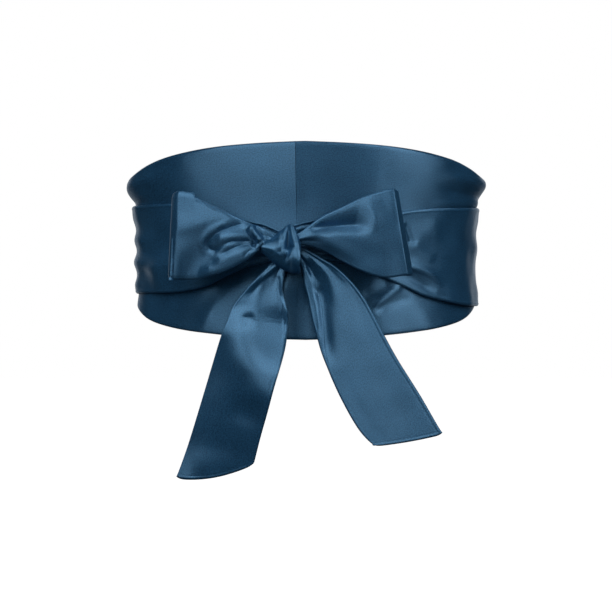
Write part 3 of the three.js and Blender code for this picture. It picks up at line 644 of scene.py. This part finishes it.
def cloth(name, middle, along, across, wall, facing=1, roll=1, sewn=(), crosswise=False):
    """A closed skin of cloth round a middle surface that is given at (along, across). `facing` is the
    side its right side is on: 1 or -1, or 0 for a tube. `roll` is how far its edges roll back. Its
    start and its end may be `sewn` to a neighbour, and then have no rolled edge. The satin's threads
    run along it, or across it where it is `crosswise`."""
    if "start" in sewn:
        along = np.insert(along, 1, SEAM_STEP * along[1])
    if "end" in sewn:
        along = np.insert(along, -1, 1 - SEAM_STEP * (1 - along[-2]))
    u, v = np.meshgrid(along, across, indexing="ij")
    points = middle(u, v)
    slope_along = np.gradient(points, along, axis=0)
    slope_across = np.gradient(points, across, axis=1)
    normals = np.cross(slope_along, slope_across)
    normals /= np.linalg.norm(normals, axis=2, keepdims=True) + 1e-12
    rows, cols = u.shape
    run = np.zeros((rows, cols))
    run[1:] = np.cumsum(np.linalg.norm(np.diff(points, axis=0), axis=2), axis=0)
    rise = np.zeros((rows, cols))
    rise[:, 1:] = np.cumsum(np.linalg.norm(np.diff(points, axis=1), axis=2), axis=1)
    from_ends = {"start": run, "end": run[-1] - run}
    from_seams = [from_ends.pop(end) for end in sewn]
    reach = np.minimum.reduce([*from_ends.values(), rise, rise[:, -1:] - rise])
    thickness = half_wall(reach, wall)
    for from_seam in from_seams:
        thickness *= np.sqrt(1 - (1 - np.minimum(from_seam / SEAM_ROUND, 1)) ** 2)
    half = thickness[..., None] * normals
    back_off = ROLL_BACK * roll * wall * np.maximum(0, 1 - reach / (ROLL_REACH * roll * wall)) ** 2
    points = points - facing * back_off[..., None] * normals

    front = np.arange(rows * cols).reshape(rows, cols)
    back = front.copy()
    back[1:-1, 1:-1] = rows * cols + np.arange((rows - 2) * (cols - 2)).reshape(rows - 2, cols - 2)
    vertices = np.concatenate([(points + half).reshape(-1, 3), (points - half)[1:-1, 1:-1].reshape(-1, 3)])

    def quads(grid):
        corners = [grid[:-1, :-1], grid[1:, :-1], grid[1:, 1:], grid[:-1, 1:]]
        return np.stack(corners, axis=-1).reshape(-1, 4)

    faces = np.concatenate([quads(front), quads(back)[:, ::-1]])
    mesh = bpy.data.meshes.new(name)
    mesh.from_pydata((vertices * MM).tolist(), [], faces.tolist())
    mesh.polygons.foreach_set("use_smooth", np.ones(len(faces), bool))

    def both_sides(values):
        return np.concatenate([values.reshape(-1), values[1:-1, 1:-1].reshape(-1)])

    corner_vertices = np.zeros(len(mesh.loops), int)
    mesh.loops.foreach_get("vertex_index", corner_vertices)
    chart = np.stack([both_sides(run), both_sides(rise)], axis=-1) * MM
    if crosswise:
        chart = chart[:, ::-1]
    uv_map = mesh.uv_layers.new(name="cloth")
    uv_map.data.foreach_set("uv", chart[corner_vertices].astype(np.float32).ravel())
    mesh.update()
    piece = bpy.data.objects.new(name, mesh)
    bpy.context.scene.collection.objects.link(piece)
    return piece


# The centre-front seam stands out as a ridge that grows from low on the panel towards its top
SEAM_RIDGE = 5
SEAM_RIDGE_WIDTH = 24
SEAM_RIDGE_LOW = 0
SEAM_RIDGE_HIGH = 55


def panel(name, start, end, along, across_steps, side_folds, seed):
    def middle(u, v):
        angle = mix(start, end, u)
        top = look_up(PANEL_EDGES, "angle", "top", np.abs(angle))
        low = look_up(PANEL_EDGES, "angle", "low", np.abs(angle))
        height = mix(low, top, v)
        round_waist = angle * MM_PER_DEGREE
        x = waist_point(angle, height, PANEL_OFF)[..., 0]
        in_front = np.cos(np.radians(angle)) > 0
        from_seam = np.abs(angle - CENTRE_SEAM) * MM_PER_DEGREE
        ridge = SEAM_RIDGE * smooth_step((height - SEAM_RIDGE_LOW) / (SEAM_RIDGE_HIGH - SEAM_RIDGE_LOW))
        off = PANEL_OFF + fold_heights(PANEL_FOLDS, x, height) * in_front
        off += side_fold_heights(side_folds, angle, height)
        off += ridge * np.exp(-from_seam / SEAM_RIDGE_WIDTH)
        off += unevenness(round_waist, height, seed, PANEL_SWELLS)
        return waist_point(angle, height, off)

    return cloth(name, middle, along, crowded(across_steps), PANEL_WALL, sewn=("start", "end"))


def back_stretch(name, table, seed):
    def middle(u, v):
        angle, mid, half, off, gather = columns(table, u)
        height = mid + half * (2 * v - 1)
        off = off + gathers(gather, BACK_PLEATS, v, np.radians(angle))
        off += unevenness(angle * MM_PER_DEGREE, height, seed, BACK_SWELLS)
        return waist_point(angle, height, off)

    along, across = even(BACK_GRID.along), crowded(BACK_GRID.across)
    return cloth(name, middle, along, across, TIE_WALL, sewn=("start", "end"))


def wrap(name, table, front_folds, side_folds, seed):
    rising = table[-1].angle > table[0].angle

    def middle(u, v):
        angle, top, low, off, gather = columns(table, u if rising else 1 - u)
        height = mix(low, top, v)
        x = waist_point(angle, height, off)[..., 0]
        in_front = np.cos(np.radians(angle)) > 0
        off = off + gathers(gather, WRAP_PLEATS, v, np.radians(angle))
        off += side_fold_heights(side_folds, angle, height)
        off += fold_heights(front_folds, x, height) * in_front
        off += unevenness(angle * MM_PER_DEGREE, height, seed, WRAP_SWELLS)
        return waist_point(angle, height, off)

    sewn = ("start",) if rising else ("end",)
    return cloth(name, middle, even(WRAP_GRID.along), crowded(WRAP_GRID.across), TIE_WALL, sewn=sewn)


def loop(name, table, folds, roll, seed):
    to_the_right = table[1].top_x > table[0].top_x

    def middle(u, v):
        top_x, top_z, low_x, low_z, y, gather = columns(table, u)
        x = mix(low_x, top_x, v)
        z = mix(low_z, top_z, v)
        outward = np.cos(np.pi * u)
        out = (x - x[:1]) / np.ptp(x, axis=0)
        belly = LOOP_BELLY * np.sign(outward) * np.sin(np.pi * np.abs(out)) * np.sin(np.pi * v)
        front = np.maximum(outward, 0) ** LOOP_FRONT_POWER
        calm = 1 - LOOP_FRONT_CALM * front
        wave = gathers(gather, LOOP_PLEATS, v, 2 * np.pi * u) * np.sign(outward) * calm
        swell = unevenness(x + LOOP_BACK_SHIFT * (outward < 0), z, seed, LOOP_SWELLS)
        return np.stack([x, y - belly - front * fold_heights(folds, x, z) - wave - swell, z], axis=-1)

    facing = 1 if to_the_right else -1
    return cloth(name, middle, even(LOOP_GRID.along), crowded(LOOP_GRID.across), TIE_WALL, facing, roll)


def tail(name, table, folds, tip_bow, roll, crosswise, seed):
    to_the_right = table[-1].out_x > table[-1].in_x

    def middle(u, v):
        out_x, out_z, in_x, in_z, out_y, in_y, gather = columns(table, u)
        x = mix(in_x, out_x, v)
        near_tip = np.maximum(0, TAIL_PARTS * u - (TAIL_PARTS - 1))
        tip = tip_bow * near_tip * np.sin(np.pi * v)
        corner = TIP_CORNER * u**TIP_CORNER_ALONG * np.abs(2 * v - 1) ** TIP_CORNER_ACROSS
        z = mix(in_z, out_z, v) - tip + corner
        y = mix(in_y, out_y, v)
        stand = fold_heights(folds, x, z)
        stand += TAIL_GATHER_SHARE * gathers(gather, TAIL_PLEATS, v, np.pi * u)
        stand += unevenness(x, z, seed, TAIL_SWELLS)
        return np.stack([x, y - stand, z], axis=-1)

    facing = 1 if to_the_right else -1
    along, across = crowded_end(TAIL_GRID.along), crowded(TAIL_GRID.across)
    return cloth(name, middle, along, across, TIE_WALL, facing, roll, crosswise=crosswise)


def knot(name, folds):
    def middle(u, v):
        x, top, low, front, back = columns(KNOT, v)
        turn = 2 * np.pi * u
        forward = -np.sign(np.cos(turn)) * np.abs(np.cos(turn)) ** KNOT_ROUND
        up = np.sign(np.sin(turn)) * np.abs(np.sin(turn)) ** KNOT_ROUND
        z = (top + low) / 2 - up * (top - low) / 2
        y = (front + back) / 2 - forward * (back - front) / 2
        y = y - np.maximum(0, forward) * fold_heights(folds, x, z)
        return np.stack([x, y, z], axis=-1)

    along, across = even(KNOT_GRID.along), crowded(KNOT_GRID.across)
    return cloth(name, middle, along, across, KNOT_WALL, facing=0, crosswise=True)


def node(nodes, kind, **inputs):
    """A shader node with values for its inputs."""
    made = nodes.new(kind)
    for key, value in inputs.items():
        made.inputs[key.replace("_", " ")].default_value = value
    return made


# The satin's shine: how strong, its tint, and how far and which way it is drawn out along the thread
SHINE_IOR = 2.6
SHINE_TINT = (0.29, 0.63, 1, 1)
SHINE_STRETCH = 0.93
SHINE_TURN = 0.25
GLOSSIEST = 0.35
DULLEST = 0.44

# Its colour, which runs from dark to light over the middle of the noise
DARK_NAVY = (0.002, 0.012, 0.03, 1)
LIGHT_NAVY = (0.024, 0.094, 0.19, 1)
DARK_AT = 0.36
LIGHT_AT = 0.64
SPECKLE_SHARE = 0.8
CLOUD_SHARE = 0.2

# Its pattern, in repeats for each metre of cloth along the thread and across it
SLUB_SCALE = (60, 900, 1)
CLOUD_SCALE = 28.0
SPECKLE_SCALE = 1200.0

# Its weave and grain, in metres
FLOAT_LENGTH = 0.0022
THREAD = 0.00032
THREAD_GAP = THREAD / 8
ROW_SHIFT = 0.4
WEAVE_STRENGTH = 0.25
WEAVE_RELIEF = 0.00004
GRAIN_STRENGTH = 0.4
GRAIN_RELIEF = 0.00006


def satin():
    """Navy satin: long floats of fine thread, a sheen along them, and soft uneven colour."""
    material = bpy.data.materials.new("navy_satin")
    material.use_nodes = True
    nodes = material.node_tree.nodes
    links = material.node_tree.links
    surface = nodes["Principled BSDF"]
    surface.inputs["IOR"].default_value = SHINE_IOR
    surface.inputs["Specular Tint"].default_value = SHINE_TINT
    surface.inputs["Anisotropic"].default_value = SHINE_STRETCH
    surface.inputs["Anisotropic Rotation"].default_value = SHINE_TURN

    chart = nodes.new("ShaderNodeUVMap")
    chart.uv_map = "cloth"
    tangent = nodes.new("ShaderNodeTangent")
    tangent.direction_type = "UV_MAP"
    tangent.uv_map = "cloth"
    links.new(tangent.outputs["Tangent"], surface.inputs["Tangent"])

    # Slubs: streaks along the thread that vary the gloss a little
    stretch = node(nodes, "ShaderNodeMapping", Scale=SLUB_SCALE)
    links.new(chart.outputs["UV"], stretch.inputs["Vector"])
    streaks = node(nodes, "ShaderNodeTexNoise", Scale=1.0, Detail=3.0, Roughness=0.6)
    links.new(stretch.outputs["Vector"], streaks.inputs["Vector"])
    gloss = node(nodes, "ShaderNodeMapRange", To_Min=GLOSSIEST, To_Max=DULLEST)
    links.new(streaks.outputs["Fac"], gloss.inputs["Value"])
    links.new(gloss.outputs["Result"], surface.inputs["Roughness"])

    # Colour: a fine speckle over large soft clouds
    clouds = node(nodes, "ShaderNodeTexNoise", Scale=CLOUD_SCALE, Detail=2.0)
    links.new(chart.outputs["UV"], clouds.inputs["Vector"])
    speckle = node(nodes, "ShaderNodeTexNoise", Scale=SPECKLE_SCALE, Detail=1.0, Roughness=0.6)
    links.new(chart.outputs["UV"], speckle.inputs["Vector"])
    faint_clouds = nodes.new("ShaderNodeMath")
    faint_clouds.operation = "MULTIPLY"
    faint_clouds.inputs[1].default_value = CLOUD_SHARE
    links.new(clouds.outputs["Fac"], faint_clouds.inputs[0])
    blend = nodes.new("ShaderNodeMath")
    blend.operation = "MULTIPLY_ADD"
    blend.inputs[1].default_value = SPECKLE_SHARE
    links.new(speckle.outputs["Fac"], blend.inputs[0])
    links.new(faint_clouds.outputs[0], blend.inputs[2])
    tone = nodes.new("ShaderNodeValToRGB")
    dark, light = tone.color_ramp.elements
    dark.position, dark.color = DARK_AT, DARK_NAVY
    light.position, light.color = LIGHT_AT, LIGHT_NAVY
    links.new(blend.outputs[0], tone.inputs["Fac"])
    links.new(tone.outputs["Color"], surface.inputs["Base Color"])

    # The weave: long floats, each row set off from the last, under a fine grain
    weave = node(
        nodes, "ShaderNodeTexBrick", Scale=1.0, Brick_Width=FLOAT_LENGTH, Row_Height=THREAD,
        Mortar_Size=THREAD_GAP, Mortar_Smooth=1.0,
    )
    weave.offset = ROW_SHIFT
    links.new(chart.outputs["UV"], weave.inputs["Vector"])
    relief = node(nodes, "ShaderNodeBump", Strength=WEAVE_STRENGTH, Distance=WEAVE_RELIEF)
    relief.invert = True
    links.new(weave.outputs["Fac"], relief.inputs["Height"])
    grain = node(nodes, "ShaderNodeBump", Strength=GRAIN_STRENGTH, Distance=GRAIN_RELIEF)
    links.new(speckle.outputs["Fac"], grain.inputs["Height"])
    links.new(relief.outputs["Normal"], grain.inputs["Normal"])
    links.new(grain.outputs["Normal"], surface.inputs["Normal"])
    return material


SATIN = satin()


def dress(piece, solid):
    """Puts one piece of cloth in its solid's place."""
    piece.data.materials.append(SATIN)
    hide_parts(solid)
    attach(piece, BODY)


panel_left = panel(
    "cloth_panel_left", -PANEL_END, CENTRE_SEAM, crowded_end(PANEL_LEFT_GRID.along),
    PANEL_LEFT_GRID.across, PANEL_LEFT_SIDE_FOLDS, seed=11,
)
panel_right = panel(
    "cloth_panel_right", CENTRE_SEAM, PANEL_END, crowded_start(PANEL_RIGHT_GRID.along),
    PANEL_RIGHT_GRID.across, PANEL_RIGHT_SIDE_FOLDS, seed=12,
)
back_outer = back_stretch("cloth_back_outer", BACK_OUTER, seed=21)
back_inner = back_stretch("cloth_back_inner", BACK_INNER, seed=22)
wrap_left = wrap("cloth_wrap_left", WRAP_LEFT, WRAP_LEFT_FOLDS, WRAP_LEFT_SIDE_FOLDS, seed=31)
wrap_right = wrap("cloth_wrap_right", WRAP_RIGHT, WRAP_RIGHT_FOLDS, WRAP_RIGHT_SIDE_FOLDS, seed=32)
loop_left = loop("cloth_loop_left", LOOP_LEFT, LOOP_LEFT_FOLDS, roll=1.9, seed=41)
loop_right = loop("cloth_loop_right", LOOP_RIGHT, LOOP_RIGHT_FOLDS, roll=1.2, seed=42)
tail_left = tail(
    "cloth_tail_left", TAIL_LEFT, TAIL_LEFT_FOLDS, TIP_BOW_LEFT, roll=1, crosswise=False, seed=51
)
tail_right = tail(
    "cloth_tail_right", TAIL_RIGHT, TAIL_RIGHT_FOLDS, TIP_BOW_RIGHT, roll=0.6, crosswise=True, seed=52
)
knot_band = knot("cloth_knot", KNOT_FOLDS)

dress(panel_left, "panel_left")
dress(panel_right, "panel_right")
dress(back_outer, "back_outer")
dress(back_inner, "back_inner")
dress(wrap_left, "wrap_left")
dress(wrap_right, "wrap_right")
dress(loop_left, "loop_left")
dress(loop_right, "loop_right")
dress(tail_left, "tail_left")
dress(tail_right, "tail_right")
dress(knot_band, "knot")


# The stage: a pale floor, a white surround for the camera, and soft lights
WHITE = (1, 1, 1, 1)
FLOOR_HEIGHT = -0.30
FLOOR_SIZE = 16
FLOOR_COLOUR = (0.9, 0.9, 0.9, 1)
FLOOR_ROUGHNESS = 0.9
AMBIENT_COLOUR = (0.45, 0.78, 1.0, 1)
AMBIENT_STRENGTH = 0.055


def pale_floor():
    """A floor that the camera sees and that neither reflects in the satin nor lights it."""
    bpy.ops.mesh.primitive_plane_add(size=FLOOR_SIZE, location=(0, 0, FLOOR_HEIGHT))
    floor = bpy.context.object
    floor.name = "floor"
    paper = bpy.data.materials.new("pale_floor")
    paper.use_nodes = True
    finish = paper.node_tree.nodes["Principled BSDF"].inputs
    finish["Base Color"].default_value = FLOOR_COLOUR
    finish["Roughness"].default_value = FLOOR_ROUGHNESS
    finish["Emission Color"].default_value = WHITE
    finish["Emission Strength"].default_value = 1.0
    floor.data.materials.append(paper)
    floor.visible_glossy = False
    floor.visible_diffuse = False


def white_surround():
    """White where the camera sees it, and a faint blue light on the satin."""
    world = bpy.data.worlds.new("white_studio")
    bpy.context.scene.world = world
    world.use_nodes = True
    nodes = world.node_tree.nodes
    links = world.node_tree.links
    nodes.clear()
    seen = node(nodes, "ShaderNodeBackground", Color=WHITE, Strength=1.0)
    ambient = node(nodes, "ShaderNodeBackground", Color=AMBIENT_COLOUR, Strength=AMBIENT_STRENGTH)
    ray = nodes.new("ShaderNodeLightPath")
    choose = nodes.new("ShaderNodeMixShader")
    surround = nodes.new("ShaderNodeOutputWorld")
    links.new(ray.outputs["Is Camera Ray"], choose.inputs["Fac"])
    links.new(ambient.outputs["Background"], choose.inputs[1])
    links.new(seen.outputs["Background"], choose.inputs[2])
    links.new(choose.outputs["Shader"], surround.inputs["Surface"])


pale_floor()
white_surround()

# The lights look at this point. Azimuth 0 is in front and grows to the right, and sizes are in metres.
TARGET = Vector((0, 0, -0.03))
Softbox = namedtuple("Softbox", "name azimuth elevation distance width height glow")
SOFTBOXES = [
    Softbox("key_left", -27, 33, 1.8, 2.05, 1.8, 2.15),
    Softbox("strip_right", 57.5, 33, 1.8, 0.82, 1.8, 2.8),
    Softbox("front_fill", 29, 38, 2.2, 0.8, 1.4, 0.62),
    Softbox("front_low", 4, -3, 2.2, 1.6, 0.22, 0.45),
    Softbox("rim_left", -158, 6, 2.2, 0.7, 1.6, 0.5),
    Softbox("rim_right", 158, 6, 2.2, 0.7, 1.6, 0.6),
]


def soft_light(box):
    """An area light that looks at the sash."""
    turn, lift = math.radians(box.azimuth), math.radians(box.elevation)
    away = Vector((math.sin(turn) * math.cos(lift), -math.cos(turn) * math.cos(lift), math.sin(lift)))
    light = bpy.data.lights.new(box.name, "AREA")
    light.shape = "RECTANGLE"
    light.size = box.width
    light.size_y = box.height
    light.energy = box.glow * box.width * box.height * math.pi
    holder = bpy.data.objects.new(box.name, light)
    holder.location = TARGET + away * box.distance
    holder.rotation_mode = "QUATERNION"
    holder.rotation_quaternion = away.to_track_quat("Z", "Y")
    holder.visible_camera = False
    bpy.context.scene.collection.objects.link(holder)


for box in SOFTBOXES:
    soft_light(box)

# The camera: level, two metres in front, at the height of the photo's middle
CAMERA_DISTANCE = 2.0
CAMERA_HEIGHT = -0.0448
PHOTO_SIZE = 612
FOCAL_PIXELS = 2857.14
SENSOR = 36
camera_data = bpy.data.cameras.new("camera")
camera_data.sensor_width = SENSOR
camera_data.lens = SENSOR * FOCAL_PIXELS / PHOTO_SIZE
camera_data.clip_end = 50
camera = bpy.data.objects.new("camera", camera_data)
camera.location = (0, -CAMERA_DISTANCE, CAMERA_HEIGHT)
camera.rotation_euler = (math.pi / 2, 0, 0)
bpy.context.scene.collection.objects.link(camera)
bpy.context.scene.camera = camera
bpy.context.scene.view_settings.view_transform = "Standard"
